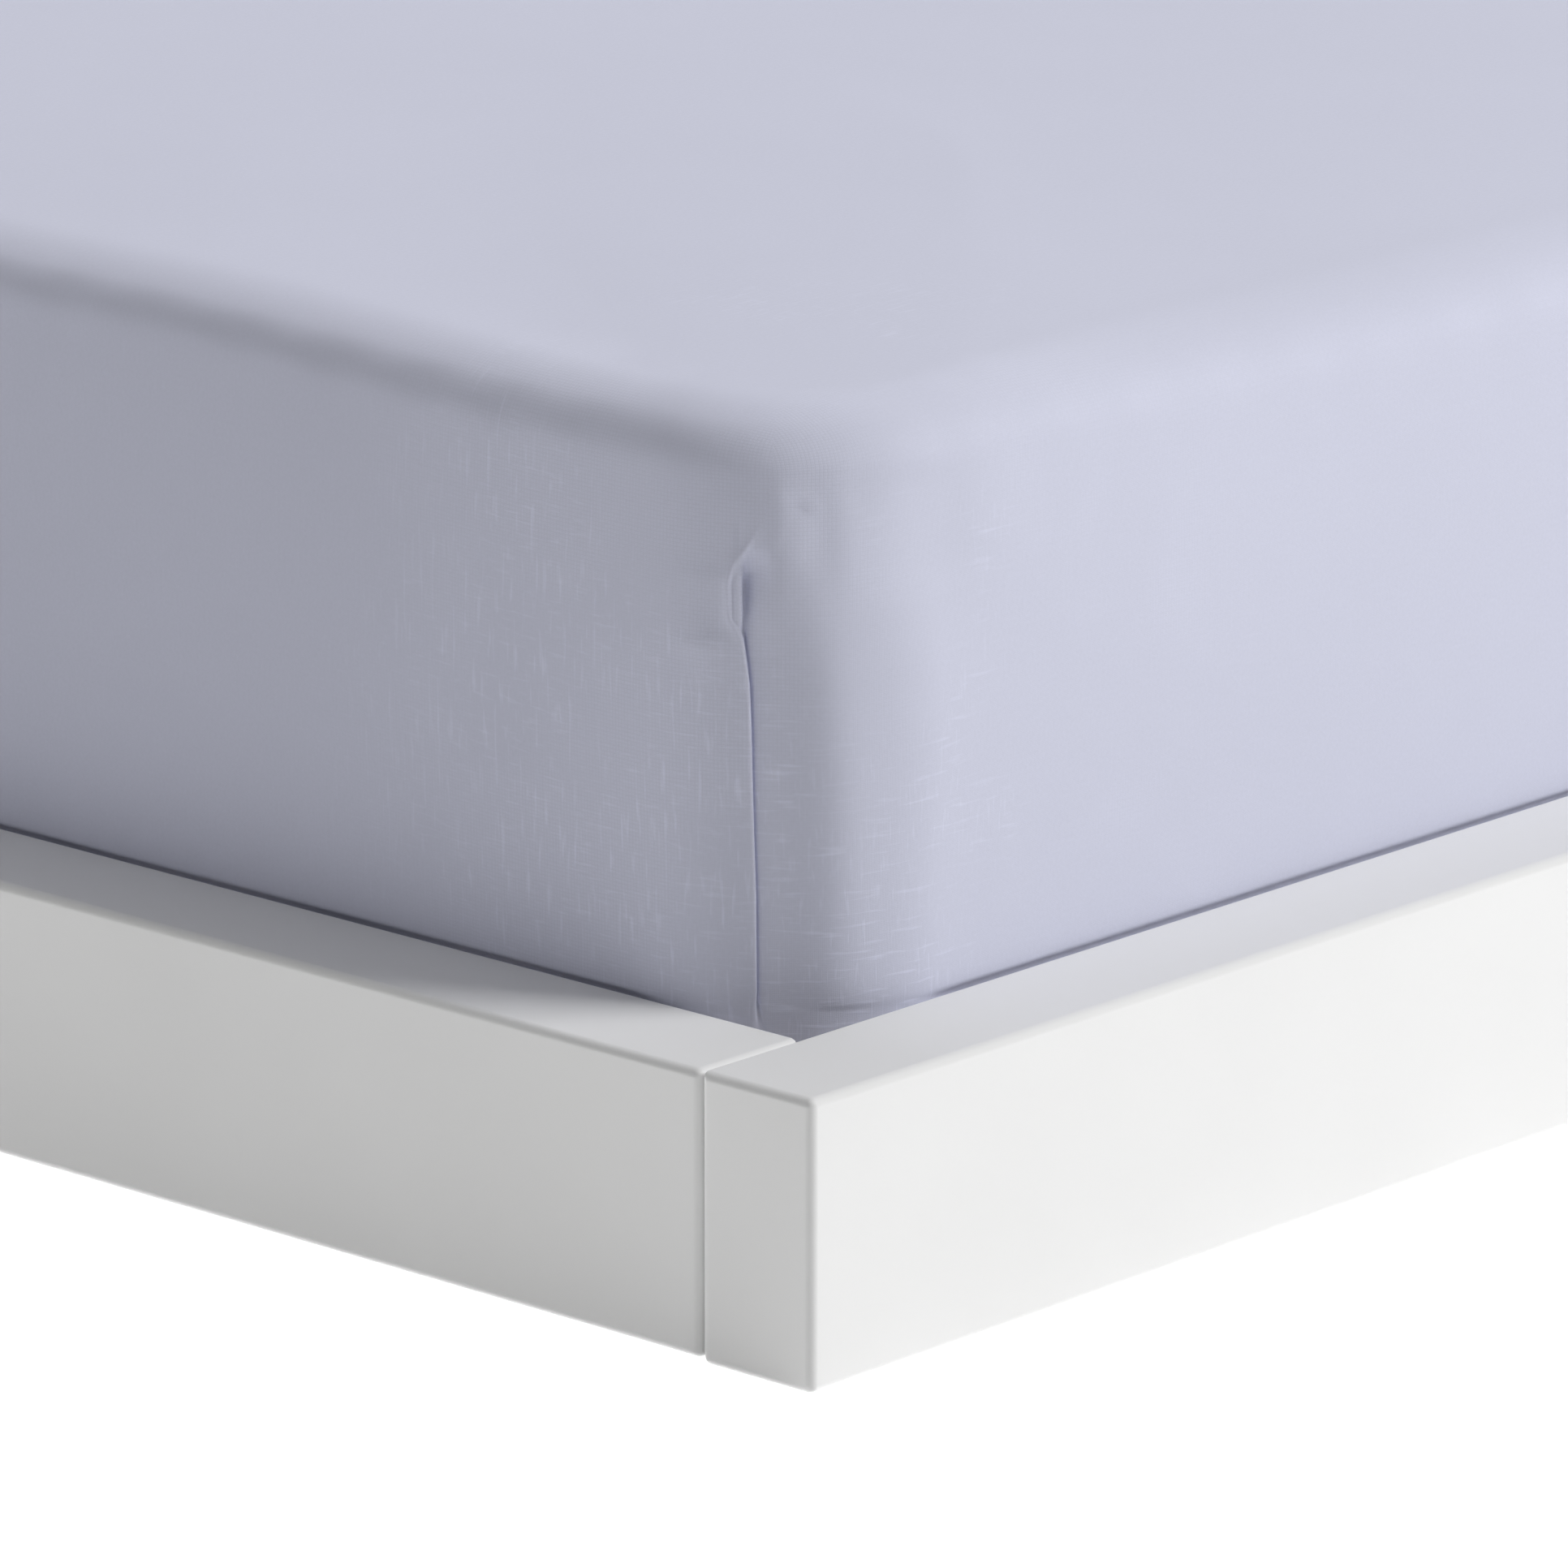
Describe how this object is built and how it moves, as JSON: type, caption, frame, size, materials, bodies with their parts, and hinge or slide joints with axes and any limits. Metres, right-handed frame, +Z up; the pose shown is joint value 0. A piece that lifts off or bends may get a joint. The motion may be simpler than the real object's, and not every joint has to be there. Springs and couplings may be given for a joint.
{
  "type": "fitted sheet on a mattress and bed frame",
  "caption": "Plain fitted sheet stretched over a single mattress in a low white bed frame, with lapped corner darts and its hem turned under.",
  "frame": {"origin": "on the floor, under the middle of the bed", "axes": "X across the bed, Y along it with the foot end at -Y, Z up"},
  "size_m": [1.018, 2.118, 0.3409],
  "materials": {
    "sheet_cotton": "plain-woven cotton, pale blue-grey",
    "mattress_ticking": "off-white ticking",
    "white_lacquer": "satin white paint on wood",
    "base_wood": "planed softwood"
  },
  "bodies": {
    "root": {"fitted_sheet": "sheet_cotton", "mattress": "mattress_ticking", "foot_rail": "white_lacquer", "head_rail": "white_lacquer", "side_rail_left": "white_lacquer", "side_rail_right": "white_lacquer", "ledger_left": "base_wood", "ledger_right": "base_wood", "slat_01": "base_wood", "slat_02": "base_wood", "slat_03": "base_wood", "slat_04": "base_wood", "slat_05": "base_wood", "slat_06": "base_wood", "slat_07": "base_wood", "slat_08": "base_wood", "slat_09": "base_wood", "slat_10": "base_wood", "slat_11": "base_wood", "slat_12": "base_wood", "slat_13": "base_wood"}
  },
  "joints": []
}
